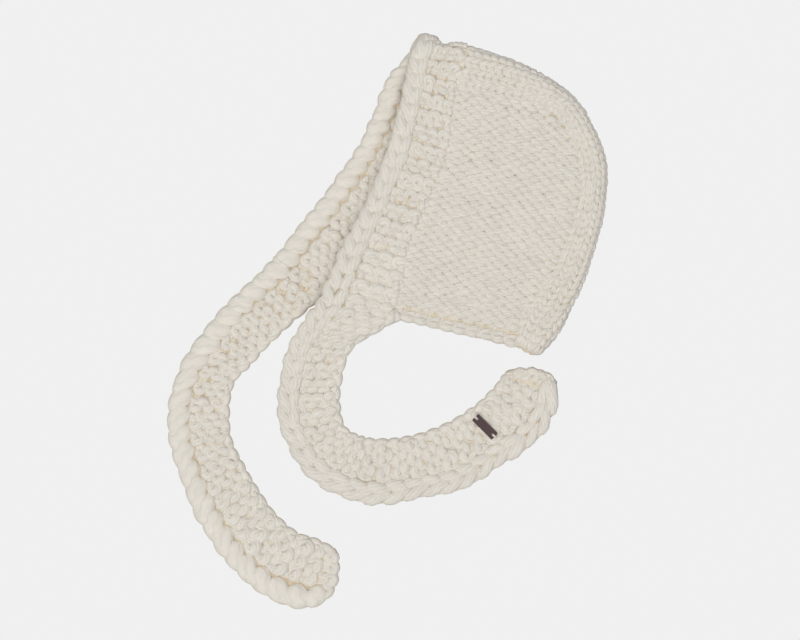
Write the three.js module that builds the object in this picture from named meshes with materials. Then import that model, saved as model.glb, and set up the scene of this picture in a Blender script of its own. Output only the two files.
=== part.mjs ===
// A chunky knitted hood with two long ties, lying flat on its far side.
// Millimetres. Seen from above, +X is right and +Y is up; +Z rises from the surface that it lies on.
// The origin is under the middle of the whole thing. The two layers of the hood enclose an open hollow.
import * as THREE from 'three';

// Driving dimensions
const WALL = 12; // thickness of the knit
const MOUTH_GAP = 8; // open height between the two layers at the face and neck edges
const DOME_RISE = 4; // how much more the near side stands up over the hollow
const SEAM_GAP = 0.3; // clearance between neighbouring pieces
const STITCH_PAIR = 17.5; // length of two knitted rows, which is one chain stitch of the rim
const RIM_LUMP = 1.1; // how far each chain stitch of the rim swells
const RIDGE_LUMP = 0.4; // how far it rises on top
const EDGE_LUMP = 1.5; // how far each pair of rows swells along a tie's plain edge
const NEAR_END_BOW = 6; // how far the end of the near tie bows out
const FAR_END_BOW = 4;
const END_SHARE = 0.1; // the share of a tie's length that bows
const LABEL_LENGTH = 28.6;
const LABEL_WIDTH = 8.8;
const LABEL_THICKNESS = 1.4;
const LABEL_NOTCH_DEPTH = 4.6;
const LABEL_NOTCH_WIDTH = 2.4;
const LABEL_CENTRE = [100, -113];
const LABEL_TURN = -45; // degrees, long side across the tie
const WOOL_COLOUR = 0xe4dccd;
const LABEL_COLOUR = 0x46332f;

// Levels that follow from them
const NEAR_LIFT = WALL + MOUTH_GAP;
const FOLD_RADIUS = WALL + MOUTH_GAP / 2;
const FOLD_LEVEL = FOLD_RADIUS;
const HALF_GAP = SEAM_GAP / 2;

// Turns a short table into rows with named columns.
function table(columns, rows) {
  return rows.map((row) => Object.fromEntries(columns.map((name, k) => [name, row[k]])));
}

const STRIP_COLUMNS = ['rimX', 'rimY', 'sideX', 'sideY', 'lift'];

// The near band, from the fold at the crown to the neck: rim edge, edge at the side panel, underside.
const NEAR_BAND = table(STRIP_COLUMNS, [
  [37, 302, 81, 291, NEAR_LIFT],
  [21, 271, 77, 266, NEAR_LIFT],
  [16, 244, 70, 227, NEAR_LIFT],
  [0, 184, 61, 166, NEAR_LIFT],
  [-18, 137, 41, 119, NEAR_LIFT],
  [-35, 103, 26, 85, NEAR_LIFT],
  [-50, 76, 19, 54, NEAR_LIFT],
  [-63, 48, 14, 24, NEAR_LIFT],
  [-76, 20, 9, -1, NEAR_LIFT],
  [-86, 6, -6, -11, NEAR_LIFT],
]);

// The near tie comes down from the hood's upper layer and curls back below the neck.
const NEAR_TIE = table(STRIP_COLUMNS, [
  [-106, -28, -39, -32, 9],
  [-116, -68, -51, -69, 2],
  [-117, -108, -51, -95, 0],
  [-104, -139, -46, -113, 0],
  [-84, -168, -35, -120, 0],
  [-39, -191, -21, -124, 0],
  [-5, -195, -2, -124, 0],
  [32, -188, 19, -122, 0],
  [79, -179, 50, -112, 0],
  [117, -154, 80, -96, 0],
  [150, -134, 99, -80, 0],
  [170, -110, 112, -66, 0],
  [180, -66, 121, -55, 0],
]);

const FAR_BAND = table(STRIP_COLUMNS, [
  [37, 302, 81, 291, 0],
  [12, 270, 76, 262, 0],
  [-2, 254, 62, 234, 0],
  [-14, 223, 48, 201, 0],
  [-32, 184, 25, 150, 0],
  [-54, 151, -2, 112, 0],
  [-79, 117, -26, 78, 0],
  [-97, 96, -47, 52, 0],
  [-122, 62, -71, 23, 0],
]);

const FAR_TIE = table(STRIP_COLUMNS, [
  [-147, 38, -104, -5, 0],
  [-173, 12, -128, -28, 0],
  [-198, -20, -150, -51, 0],
  [-215, -45, -161, -62, 0],
  [-229, -79, -168, -80, 0],
  [-232, -113, -169, -105, 0],
  [-227, -142, -166, -127, 0],
  [-213, -185, -153, -153, 0],
  [-189, -231, -136, -181, 0],
  [-166, -262, -119, -204, 0],
  [-139, -286, -99, -222, 0],
  [-103, -303, -78, -229, 0],
  [-62, -299, -56, -242, 0],
]);

// The gusset, from the crown to the nape: its seam with the near side, the fold, its seam with the far side.
const GUSSET = table(['nearX', 'nearY', 'foldX', 'foldY', 'farX', 'farY'], [
  [73, 242, 82, 290, 79, 269],
  [101, 235, 115, 280, 101, 261],
  [136, 228, 149, 266, 136, 248],
  [161, 223, 178, 249, 159, 235],
  [175, 213, 201, 228, 174, 217],
  [189, 191, 217, 200, 189, 191],
  [198, 166, 228, 173, 198, 166],
  [201, 146, 230, 149, 201, 146],
  [198, 121, 228, 121, 198, 121],
  [190, 95, 223, 95, 190, 95],
  [181, 70, 215, 67, 181, 70],
  [168, 45, 205, 37, 168, 45],
  [152, 22, 192, 10, 155, 20],
  [139, 3, 178, -17, 150, -7],
  [132, -29, 157, -40, 147, -36],
]);
const CROWN_CORNER_ROW = 3; // above this row the seam runs along the top of the side panels
const NEAR_PANEL_ROW = 1.64; // where along its band each side panel starts, counted in the band's rows
const FAR_PANEL_ROW = 0.75;

const NEAR_SEAM = curveThrough(GUSSET, 'nearX', 'nearY');
const FAR_SEAM = curveThrough(GUSSET, 'farX', 'farY');

const NECK_COLUMNS = ['x', 'y'];
const NEAR_NECK = table(NECK_COLUMNS, [[9, -1], [38, -2], [64, -7], [94, -14], [115, -21], [132, -29]]);
const FAR_NECK = table(NECK_COLUMNS, [[-71, 23], [0, 4], [75, -14], [147, -36]]);

// A strip's section from its rim (across 0) to its other edge (across 1), in heights above its underside.
// The chain column is 1 where the chain stitches of the rim swell.
const PROFILE_COLUMNS = ['across', 'top', 'bottom', 'chain'];
const RIM_PROFILE = [
  [0, 8.5, 3.5, 0],
  [0.05, 11.6, 0.6, 0],
  [0.15, 12.8, 0, 1],
  [0.27, 12.2, 0, 1],
  [0.33, 10.4, 0, 0],
  [0.4, WALL, 0, 0],
];
const BAND_EDGE = [[0.7, WALL, 0, 0], [1, WALL, 0, 0]];
const TIE_EDGE = [[0.85, WALL, 0, 0], [0.95, 11, 1, 0], [1, 8, 4, 0]];
const BAND_PROFILE = table(PROFILE_COLUMNS, [...RIM_PROFILE, ...BAND_EDGE]);
const TIE_PROFILE = table(PROFILE_COLUMNS, [...RIM_PROFILE, ...TIE_EDGE]);

// The gusset's section from the near seam round the fold to the far one, with its knit columns as ridges.
const GUSSET_PROFILE = table(['reach', 'turn', 'ridge'], [
  [0, 0, -1],
  [0.4, 0, 0.8],
  [0.8, 0, -0.5],
  [1, 25, 0.8],
  [1, 58, -0.5],
  [1, 90, 0.8],
  [1, 122, -0.5],
  [1, 155, 0.8],
  [0.8, 180, 0],
  [0.4, 180, 0],
  [0, 180, 0],
]);

// A side panel's rows from the crown (0) to the neck (1): even ones, then those of the garter stitch hem.
const EVEN_ROWS = 21;
const HEM_START = 0.84;
const PANEL_ROWS = table(['down', 'top', 'bottom'], [
  ...Array.from({ length: EVEN_ROWS }, (_, k) => [(HEM_START * k) / (EVEN_ROWS - 1), WALL, 0]),
  [0.885, 11.2, 0],
  [0.92, 12.4, 0],
  [0.97, 11.4, 0.8],
  [1, 8.5, 3.5],
]);
const PANEL_COLUMNS = 9;

// Closes two grids of points, an outer and an inner face, into one solid.
function solidBetween(outer, inner) {
  const rows = outer.length;
  const columns = outer[0].length;
  const points = [...outer.flat(), ...inner.flat()];
  const outerAt = (r, c) => r * columns + c;
  const innerAt = (r, c) => rows * columns + r * columns + c;
  const faces = [];
  const quad = (a, b, c, d) => faces.push(a, b, c, a, c, d);
  for (let r = 0; r + 1 < rows; r++) {
    for (let c = 0; c + 1 < columns; c++) {
      quad(outerAt(r, c), outerAt(r + 1, c), outerAt(r + 1, c + 1), outerAt(r, c + 1));
      quad(innerAt(r, c), innerAt(r, c + 1), innerAt(r + 1, c + 1), innerAt(r + 1, c));
    }
    quad(outerAt(r, 0), innerAt(r, 0), innerAt(r + 1, 0), outerAt(r + 1, 0));
    const last = columns - 1;
    quad(outerAt(r, last), outerAt(r + 1, last), innerAt(r + 1, last), innerAt(r, last));
  }
  for (let c = 0; c + 1 < columns; c++) {
    const last = rows - 1;
    quad(outerAt(0, c), outerAt(0, c + 1), innerAt(0, c + 1), innerAt(0, c));
    quad(outerAt(last, c), innerAt(last, c), innerAt(last, c + 1), outerAt(last, c + 1));
  }
  if (signedVolume(points, faces) < 0) {
    faces.reverse();
  }
  const geometry = new THREE.BufferGeometry();
  const coordinates = points.flatMap((p) => [p.x, p.y, p.z]);
  geometry.setAttribute('position', new THREE.Float32BufferAttribute(coordinates, 3));
  geometry.setIndex(faces);
  geometry.computeVertexNormals();
  return geometry;
}

function signedVolume(points, faces) {
  let volume = 0;
  for (let k = 0; k < faces.length; k += 3) {
    const [a, b, c] = [points[faces[k]], points[faces[k + 1]], points[faces[k + 2]]];
    volume += a.dot(new THREE.Vector3().crossVectors(b, c)) / 6;
  }
  return volume;
}

function curveThrough(rows, x, y, z) {
  return new THREE.CatmullRomCurve3(rows.map((row) => new THREE.Vector3(row[x], row[y], z ? row[z] : 0)));
}

const CURVE_STEPS = 20; // steps that measure a curve's length between two rows

// The curves along a strip's two edges and its middle. They share one parameter, 0 to 1 over the rows.
function stripCurves(rows) {
  const middlePoints = rows.map(
    (row) => new THREE.Vector3((row.rimX + row.sideX) / 2, (row.rimY + row.sideY) / 2, row.lift),
  );
  const middle = new THREE.CatmullRomCurve3(middlePoints);
  middle.arcLengthDivisions = CURVE_STEPS * rows.length;
  return {
    rim: curveThrough(rows, 'rimX', 'rimY', 'lift'),
    side: curveThrough(rows, 'sideX', 'sideY', 'lift'),
    middle,
  };
}

// How far along the middle, in millimetres, the strip's parameter has come.
function distanceAt(middle, parameter) {
  const lengths = middle.getLengths();
  const place = parameter * (lengths.length - 1);
  const k = Math.min(Math.floor(place), lengths.length - 2);
  return lengths[k] + (place - k) * (lengths[k + 1] - lengths[k]);
}

// Where the sections of a band's bend at the crown lie, in shares of the fold's radius.
const BEND_STOPS = [0.02, 0.18, 0.53];

// Bends a band over the crown: its outer face follows a quarter circle down to the level of the fold.
function crownBend(distance) {
  const short = Math.max(0, FOLD_RADIUS - distance);
  const hollow = MOUTH_GAP / 2;
  return {
    outer: Math.sqrt(1 - (short / FOLD_RADIUS) ** 2),
    inner: Math.sqrt(Math.max(0, 1 - (short / hollow) ** 2)),
  };
}

// One strip of band or tie between two of its rows, with a swelling at every chain stitch of its rim.
// layer is 1 for a near band and -1 for a far one, which bend to each other at the crown, and 0 for a tie.
function strip(rows, firstRow, lastRow, profile, { layer = 0, edgeLump = 0, endBow = 0 } = {}) {
  const { rim, side, middle } = stripCurves(rows);
  const parameterOf = (row) => row / (rows.length - 1);
  const start = distanceAt(middle, parameterOf(firstRow));
  const end = distanceAt(middle, parameterOf(lastRow));
  const halfPairs = 2 * Math.round((end - start) / STITCH_PAIR);
  const stops = layer ? BEND_STOPS.map((share) => ({ distance: share * FOLD_RADIUS, swell: 0 })) : [];
  for (let k = 0; k <= halfPairs; k++) {
    const distance = start + ((end - start) * k) / halfPairs;
    if (!layer || distance > FOLD_RADIUS / 2) {
      stops.push({ distance, swell: k % 2 ? 1 : -1 });
    }
  }
  stops[0].distance += layer ? 0 : HALF_GAP;
  stops[stops.length - 1].distance -= HALF_GAP;
  const top = [];
  const bottom = [];
  for (const { distance, swell } of stops) {
    const parameter = middle.getUtoTmapping(0, distance);
    const rimPoint = rim.getPoint(parameter);
    const sidePoint = side.getPoint(parameter);
    const lift = Math.max(0, middle.getPoint(parameter).z);
    const along = middle.getTangent(parameter);
    const inward = new THREE.Vector3().subVectors(sidePoint, rimPoint).setZ(0).normalize();
    rimPoint.addScaledVector(inward, -RIM_LUMP * swell);
    sidePoint.addScaledVector(inward, edgeLump ? edgeLump * swell : -HALF_GAP);
    const bend = layer ? crownBend(distance) : null;
    const left = (end - distance) / (end - start);
    const bow = endBow * Math.max(0, 1 - left / END_SHARE);
    const place = ({ across }, height) => {
      const point = new THREE.Vector3().lerpVectors(rimPoint, sidePoint, across);
      point.addScaledVector(along, bow * (1 - (2 * across - 1) ** 2));
      return point.setZ(lift + height);
    };
    const topRow = profile.map((column) => place(column, column.top + column.chain * RIDGE_LUMP * swell));
    const bottomRow = profile.map((column) => place(column, column.bottom));
    if (bend) {
      bendRow(layer > 0 ? topRow : bottomRow, layer, bend.outer);
      bendRow(layer > 0 ? bottomRow : topRow, layer, bend.inner);
    }
    top.push(topRow);
    bottom.push(bottomRow);
  }
  return solidBetween(top, bottom);
}

// Draws a row of points towards the level of the fold and stops it half a gap short.
function bendRow(row, layer, share) {
  for (const point of row) {
    const above = Math.max(HALF_GAP, layer * (point.z - FOLD_LEVEL) * share);
    point.z = FOLD_LEVEL + layer * above;
  }
}

// How far a curve lies off the straight line between its own ends.
function sag(curveAt, share) {
  return curveAt(share).addScaledVector(curveAt(0), share - 1).addScaledVector(curveAt(1), -share);
}

// A side panel fills the space between the band, the crown, the gusset's seam and the neck.
function sidePanel({ bandRows, bandFrom, bandTo, seam, neckRows, lift, dome }) {
  const band = stripCurves(bandRows).side;
  const neck = curveThrough(neckRows, 'x', 'y');
  const corner = CROWN_CORNER_ROW / (GUSSET.length - 1);
  const bandRowAt = (down) => bandFrom + (bandTo - bandFrom) * down;
  const bandAt = (down) => band.getPoint(bandRowAt(down) / (bandRows.length - 1)).setZ(0);
  const seamAt = (down) => seam.getPoint(corner + (1 - corner) * down);
  const crownAt = (over) => seam.getPoint(corner * over);
  const neckAt = (over) => neck.getPoint(over);
  const patch = (over, down) => {
    const crownSag = sag(crownAt, over);
    const neckSag = sag(neckAt, over);
    const between = bandAt(down).multiplyScalar(1 - over).addScaledVector(seamAt(down), over);
    return between.addScaledVector(crownSag, 1 - down).addScaledVector(neckSag, down);
  };
  const plan = PANEL_ROWS.map(({ down }) => {
    return Array.from({ length: PANEL_COLUMNS }, (_, c) => patch(c / (PANEL_COLUMNS - 1), down));
  });
  insetEdges(plan);
  const face = (height) => plan.map((row, r) => row.map((point, c) => {
    const over = c / (PANEL_COLUMNS - 1);
    const rise = dome * Math.sin(Math.PI * over) * Math.sin(Math.PI * PANEL_ROWS[r].down);
    return point.clone().setZ(lift + rise + height(PANEL_ROWS[r]));
  }));
  return solidBetween(face((row) => row.top), face((row) => row.bottom));
}

// Pulls a panel's sewn edges in by half a gap: the band's, the seam's and the crown's.
function insetEdges(plan) {
  const pull = (point, towards) => {
    point.addScaledVector(new THREE.Vector3().subVectors(towards, point).normalize(), HALF_GAP);
  };
  for (const row of plan) {
    pull(row[0], row[1]);
    pull(row[row.length - 1], row[row.length - 2]);
  }
  plan[0].forEach((point, c) => pull(point, plan[1][c]));
}

// At the nape the gusset is so narrow that its bend is squeezed to leave these.
const LEAST_FLAT = 2;
const LEAST_HOLLOW = 1;

// The gusset bends round the back of the hollow, from the near seam to the far one.
function gussetStrip() {
  const fold = curveThrough(GUSSET, 'foldX', 'foldY');
  const corner = CROWN_CORNER_ROW / (GUSSET.length - 1);
  const crownStops = Array.from({ length: PANEL_COLUMNS - 1 }, (_, c) => (corner * c) / (PANEL_COLUMNS - 1));
  const backStops = PANEL_ROWS.map(({ down }) => corner + (1 - corner) * down);
  const outer = [];
  const inner = [];
  for (const stop of [...crownStops, ...backStops]) {
    const crest = fold.getPoint(stop);
    const near = new THREE.Vector3().subVectors(NEAR_SEAM.getPoint(stop), crest);
    const far = new THREE.Vector3().subVectors(FAR_SEAM.getPoint(stop), crest);
    const outerReach = Math.min(FOLD_RADIUS, near.length() - LEAST_FLAT, far.length() - LEAST_FLAT);
    const innerReach = Math.max(LEAST_HOLLOW, outerReach - WALL);
    const face = (reach, halfHeight, ridged) => GUSSET_PROFILE.map((column) => {
      const turn = THREE.MathUtils.degToRad(column.turn);
      const ridge = ridged ? column.ridge : 0;
      const seam = column.turn < 90 ? near : far;
      const flat = (seam.length() - HALF_GAP - outerReach) * (1 - column.reach);
      const inset = outerReach + flat - (reach + ridge) * Math.sin(turn);
      const height = FOLD_LEVEL + (halfHeight + ridge) * Math.cos(turn);
      return crest.clone().addScaledVector(seam.clone().normalize(), inset).setZ(Math.max(0, height));
    });
    outer.push(face(outerReach, FOLD_RADIUS, true));
    inner.push(face(innerReach, MOUTH_GAP / 2, false));
  }
  return solidBetween(outer, inner);
}

// A flat plate with a round-ended notch in each short side, where thread holds it.
function labelPlate() {
  const shape = new THREE.Shape();
  const [halfLength, halfWidth] = [LABEL_LENGTH / 2, LABEL_WIDTH / 2];
  const radius = LABEL_NOTCH_WIDTH / 2;
  const notchEnd = halfLength - LABEL_NOTCH_DEPTH + radius;
  shape.moveTo(-halfLength, -halfWidth);
  shape.lineTo(halfLength, -halfWidth);
  shape.lineTo(halfLength, -radius);
  shape.absarc(notchEnd, 0, radius, -Math.PI / 2, Math.PI / 2, true);
  shape.lineTo(halfLength, radius);
  shape.lineTo(halfLength, halfWidth);
  shape.lineTo(-halfLength, halfWidth);
  shape.lineTo(-halfLength, radius);
  shape.absarc(-notchEnd, 0, radius, Math.PI / 2, -Math.PI / 2, true);
  shape.lineTo(-halfLength, -radius);
  shape.closePath();
  return new THREE.ExtrudeGeometry(shape, { depth: LABEL_THICKNESS, bevelEnabled: false, curveSegments: 8 });
}

const wool = new THREE.MeshStandardMaterial({ color: WOOL_COLOUR, roughness: 0.95, metalness: 0 });
const darkMetal = new THREE.MeshStandardMaterial({ color: LABEL_COLOUR, roughness: 0.55, metalness: 0.3 });
const group = new THREE.Group();

function addPiece(name, geometry, material) {
  const mesh = new THREE.Mesh(geometry, material);
  mesh.name = name;
  group.add(mesh);
  return mesh;
}

const nearStrip = [...NEAR_BAND, ...NEAR_TIE];
const farStrip = [...FAR_BAND, ...FAR_TIE];
const nearNeckRow = NEAR_BAND.length - 1;
const farNeckRow = FAR_BAND.length - 1;
const nearEnd = nearStrip.length - 1;
const farEnd = farStrip.length - 1;

const nearSide = sidePanel({
  bandRows: nearStrip,
  bandFrom: NEAR_PANEL_ROW,
  bandTo: nearNeckRow - 1,
  seam: NEAR_SEAM,
  neckRows: NEAR_NECK,
  lift: NEAR_LIFT,
  dome: DOME_RISE,
});
const farSide = sidePanel({
  bandRows: farStrip,
  bandFrom: FAR_PANEL_ROW,
  bandTo: farNeckRow,
  seam: FAR_SEAM,
  neckRows: FAR_NECK,
  lift: 0,
  dome: 0,
});
const nearTieShape = { edgeLump: EDGE_LUMP, endBow: NEAR_END_BOW };
const farTieShape = { edgeLump: EDGE_LUMP, endBow: FAR_END_BOW };

addPiece('hood_side_near', nearSide, wool);
addPiece('hood_side_far', farSide, wool);
addPiece('crown_gusset', gussetStrip(), wool);
addPiece('front_band_near', strip(nearStrip, 0, nearNeckRow, BAND_PROFILE, { layer: 1 }), wool);
addPiece('front_band_far', strip(farStrip, 0, farNeckRow, BAND_PROFILE, { layer: -1 }), wool);
addPiece('tie_near', strip(nearStrip, nearNeckRow, nearEnd, TIE_PROFILE, nearTieShape), wool);
addPiece('tie_far', strip(farStrip, farNeckRow, farEnd, TIE_PROFILE, farTieShape), wool);

const label = addPiece('label_plate', labelPlate(), darkMetal);
label.position.set(...LABEL_CENTRE, WALL + SEAM_GAP);
label.rotation.z = THREE.MathUtils.degToRad(LABEL_TURN);

const bounds = new THREE.Box3().setFromObject(group, true);
const middle = bounds.getCenter(new THREE.Vector3());
group.position.set(-middle.x, -middle.y, -bounds.min.z);

export default group;
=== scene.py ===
# %% [markdown]
# # A chunky knitted hood, loop by loop
#
# The hood is knitted from very thick cream wool and lies folded flat: one side panel on top and one below,
# a strip of knit columns round the back, and a face band that runs on into two long ties.
# Knitting could be painted on smooth cloth as a bump pattern, but in yarn this thick the stitches are shapes:
# they make the outline and cast shadows. So each soft solid is swapped here for yarn, tubes that follow
# the path of real knitting, and the light falls into the same small gaps as in wool.

import bmesh
import bpy
import numpy as np
from mathutils import Matrix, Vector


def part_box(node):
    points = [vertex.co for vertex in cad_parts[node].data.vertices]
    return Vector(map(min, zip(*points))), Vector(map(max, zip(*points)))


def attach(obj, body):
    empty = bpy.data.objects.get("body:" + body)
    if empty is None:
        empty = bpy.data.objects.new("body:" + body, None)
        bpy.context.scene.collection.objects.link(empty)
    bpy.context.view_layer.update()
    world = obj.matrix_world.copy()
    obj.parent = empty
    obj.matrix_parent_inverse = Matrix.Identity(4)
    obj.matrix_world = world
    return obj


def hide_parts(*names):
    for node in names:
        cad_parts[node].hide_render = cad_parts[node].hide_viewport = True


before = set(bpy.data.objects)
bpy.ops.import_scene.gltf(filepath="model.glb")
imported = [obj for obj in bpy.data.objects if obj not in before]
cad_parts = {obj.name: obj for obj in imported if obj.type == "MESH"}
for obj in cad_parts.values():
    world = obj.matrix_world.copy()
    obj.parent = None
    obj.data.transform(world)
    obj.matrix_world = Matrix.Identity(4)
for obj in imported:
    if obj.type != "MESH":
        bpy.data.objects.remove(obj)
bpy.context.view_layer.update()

# %% [markdown]
# ## Layers of the cloth
#
# Lengths are in millimetres until a mesh is made. The lower half of the hood lies on the surface and the
# upper half lies over it, with a narrow gap where the head goes in, and both meet round folds of the same
# cloth. So all heights follow from two sizes: the thickness of the cloth and the gap.
# Wool is never quite even. One seeded generator makes all the unevenness, so every run gives the same hood.

# %% Layers of the cloth
MM = 0.001
WALL = 12.0
MOUTH_GAP = 8.0
FAR_LEVEL = WALL / 2
NEAR_LEVEL = FAR_LEVEL + WALL + MOUTH_GAP
BEND = (NEAR_LEVEL - FAR_LEVEL) / 2
FOLD = BEND + WALL / 2
SEED = 11
random = np.random.default_rng(SEED)
print("middle of the lower and the upper cloth:", FAR_LEVEL, "and", NEAR_LEVEL, "mm up")

# %% [markdown]
# ## Where the cloth lies
#
# The tables give the lie of the hood from above, with few rows where it runs straight and more where it
# bends. A cloth simulation could drop the hood on the floor, but it would never land in this very lie,
# with one tie curled round below the neck, so the lie is measured and written down.

# %% Tables of the lie
# Columns of a strip: rim x and y, inner edge x and y, height of the underside.
RIM, INNER, UNDERSIDE = [0, 1], [2, 3], [4]
NEAR_STRIP = np.array([
    [37, 302, 81, 291, 20], [21, 271, 77, 266, 20], [16, 244, 70, 227, 20], [0, 184, 61, 166, 20],
    [-18, 137, 41, 119, 20], [-35, 103, 26, 85, 20], [-50, 76, 19, 54, 20], [-63, 48, 14, 24, 20],
    [-76, 20, 9, -1, 20], [-86, 6, -6, -11, 20],
    [-106, -28, -39, -32, 9], [-116, -68, -51, -69, 2], [-117, -108, -51, -95, 0], [-104, -139, -46, -113, 0],
    [-84, -168, -35, -120, 0], [-39, -191, -21, -124, 0], [-5, -195, -2, -124, 0], [32, -188, 19, -122, 0],
    [79, -179, 50, -112, 0], [117, -154, 80, -96, 0], [150, -134, 99, -80, 0], [170, -110, 112, -66, 0],
    [180, -66, 121, -55, 0],
], float)
FAR_STRIP = np.array([
    [37, 302, 81, 291, 0], [12, 270, 76, 262, 0], [-2, 254, 62, 234, 0], [-14, 223, 48, 201, 0],
    [-32, 184, 25, 150, 0], [-54, 151, -2, 112, 0], [-79, 117, -26, 78, 0], [-97, 96, -47, 52, 0],
    [-122, 62, -71, 23, 0],
    [-147, 38, -104, -5, 0], [-173, 12, -128, -28, 0], [-198, -20, -150, -51, 0], [-215, -45, -161, -62, 0],
    [-229, -79, -168, -80, 0], [-232, -113, -169, -105, 0], [-227, -142, -166, -127, 0],
    [-213, -185, -153, -153, 0], [-189, -231, -136, -181, 0], [-166, -262, -119, -204, 0],
    [-139, -286, -99, -222, 0], [-103, -303, -78, -229, 0], [-62, -299, -56, -242, 0],
], float)
# Columns of the back strip: near seam x and y, fold x and y, far seam x and y.
NEAR_SEAM, CREST, FAR_SEAM = [0, 1], [2, 3], [4, 5]
GUSSET = np.array([
    [73, 242, 82, 290, 79, 269], [101, 235, 115, 280, 101, 261], [136, 228, 149, 266, 136, 248],
    [161, 223, 178, 249, 159, 235], [175, 213, 201, 228, 174, 217], [189, 191, 217, 200, 189, 191],
    [198, 166, 228, 173, 198, 166], [201, 146, 230, 149, 201, 146], [198, 121, 228, 121, 198, 121],
    [190, 95, 223, 95, 190, 95], [181, 70, 215, 67, 181, 70], [168, 45, 205, 37, 168, 45],
    [152, 22, 192, 10, 155, 20], [139, 3, 178, -17, 150, -7], [132, -29, 157, -40, 147, -36],
], float)
print("rows of the lie:", len(NEAR_STRIP), len(FAR_STRIP), len(GUSSET))

# %% [markdown]
# A smooth line runs through the rows of a table. A centripetal Catmull-Rom curve is used, because it doesn't
# overshoot where the rows are unevenly spaced, and numpy works out all its spans at once.

# %% Curves through the tables
PER_SPAN = 24
STRETCH = 30


def smooth(points):
    """A centripetal Catmull-Rom curve through the points."""
    padded = np.vstack([2 * points[0] - points[1], points, 2 * points[-1] - points[-2]])
    before, start, end, after = padded[:-3], padded[1:-2], padded[2:-1], padded[3:]
    t0, t1, t2 = (np.sqrt(np.linalg.norm(b - a, axis=1))[:, None]
                  for a, b in ((before, start), (start, end), (end, after)))
    leave = ((start - before) / t0 - (end - before) / (t0 + t1) + (end - start) / t1) * t1
    arrive = ((end - start) / t1 - (after - start) / (t1 + t2) + (after - end) / t2) * t1
    t = np.linspace(0, 1, PER_SPAN, endpoint=False)[None, :, None]
    spans = ((2 * t**3 - 3 * t**2 + 1) * start[:, None] + (t**3 - 2 * t**2 + t) * leave[:, None]
             + (3 * t**2 - 2 * t**3) * end[:, None] + (t**3 - t**2) * arrive[:, None])
    return np.vstack([spans.reshape(-1, points.shape[1]), points[-1]])


def distances(line):
    """How far along a line each of its points is."""
    steps = np.linalg.norm(np.diff(line, axis=0), axis=1)
    return np.append(0, np.cumsum(steps))


def along(line, measure, where):
    """The points of a line at given measures."""
    return np.stack([np.interp(where, measure, line[:, k]) for k in range(line.shape[1])], axis=-1)


def stretch(line):
    """Runs a line straight on past both of its ends."""
    first = line[0] + (line[0] - line[1]) * STRETCH
    last = line[-1] + (line[-1] - line[-2]) * STRETCH
    return np.vstack([first, line, last])


near_seam = smooth(GUSSET[:, NEAR_SEAM])
far_seam = smooth(GUSSET[:, FAR_SEAM])
print("seam lengths in mm:", round(distances(near_seam)[-1]), "and", round(distances(far_seam)[-1]))

# %% [markdown]
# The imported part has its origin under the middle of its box, so its places differ from the tables' by one
# shift. The label plate is small and rigid, and its middle is known in both, so the shift is read off it.

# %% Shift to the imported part
LABEL_CENTRE = np.array([100.0, -113.0])
label_low, label_high = (np.array(corner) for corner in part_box("label_plate"))
HOME = np.append((label_low + label_high)[:2] / 2 / MM - LABEL_CENTRE, 0.0)
print("the packed part is shifted by", HOME.round(2), "mm")

# %% [markdown]
# ## Strips
#
# The face band and its tie are one long strip, measured along its middle. At the crown the upper band turns
# over a fold to meet the lower one, so the first stretch of a strip climbs a quarter circle. The fold dips
# a little in its middle, as soft cloth does, and the end of a tie bows out. A curve object with a bevel would
# make a strip too, but here any point of the strip is needed later, as ground for stitches.

# %% Strips
CROWN_DIP = 6.0
DIP_MIDDLE = 0.52
DIP_SPREAD = 0.16
END_LENGTH = 40.0
NEAR_BOW = 9.0
FAR_BOW = 2.0


class Strip:
    """A strip of cloth; layer is 1 for the upper one and -1 for the lower one."""

    def __init__(self, rows, layer, bow):
        rim = smooth(rows[:, RIM])
        side = smooth(rows[:, INNER])
        run = distances((rim + side) / 2)
        height = np.maximum(0, smooth(rows[:, RIM + UNDERSIDE])[:, -1:])
        self.length = run[-1] - FOLD + BEND * np.pi / 2
        self.row_runs = run[::PER_SPAN]
        self.rim = stretch(rim)
        self.side = stretch(side)
        self.run = stretch(run[:, None])[:, 0]
        self.level = stretch(FAR_LEVEL + height)[:, 0]
        self.layer = layer
        self.bow = bow

    def distance_at(self, table_row):
        """How far from the crown's fold a row of the table is, along the cloth."""
        plan = np.interp(table_row, np.arange(len(self.row_runs)), self.row_runs)
        return plan - FOLD + BEND * np.pi / 2

    def at(self, across, distance):
        """Points of the cloth's middle; across is 0 at the rim and 1 at the inner edge."""
        near_end = np.maximum(0, 1 - (self.length - distance) / END_LENGTH)
        distance = distance + self.bow * near_end * (1 - (2 * across - 1) ** 2)
        turn = np.clip(distance / BEND, -np.pi / 2, np.pi / 2)
        plan = FOLD - BEND * np.cos(turn) + np.abs(distance) - np.abs(turn) * BEND
        near_crown = np.clip(1 - np.abs(distance) / END_LENGTH, 0, 1) ** 2
        plan = plan + CROWN_DIP * near_crown * np.exp(-((across - DIP_MIDDLE) / DIP_SPREAD) ** 2)
        rim = along(self.rim, self.run, plan)
        side = along(self.side, self.run, plan)
        level = np.interp(plan, self.run, self.level) - self.layer * BEND * (1 - np.sin(turn))
        return np.concatenate([rim + (side - rim) * across[..., None], level[..., None]], axis=-1)


near_strip = Strip(NEAR_STRIP, 1, NEAR_BOW)
far_strip = Strip(FAR_STRIP, -1, FAR_BOW)
print("strip lengths in mm:", round(near_strip.length), "and", round(far_strip.length))

# %% [markdown]
# ## The path of knitting
#
# Every row of knitting is one yarn that runs through its stitches as a chain of loops. Along a stitch the
# yarn swings into the next row and back, and it bulges sideways, so that each head is wider than its feet.
# For a knit stitch the legs lie in front, for a purl stitch behind, and the head of a loop gives way to
# the legs of the row that is pulled through it. Stocking stitch, garter stitch and chain edges all follow
# from that, so one function of sines makes them all: only the kinds of the stitches change.

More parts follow.
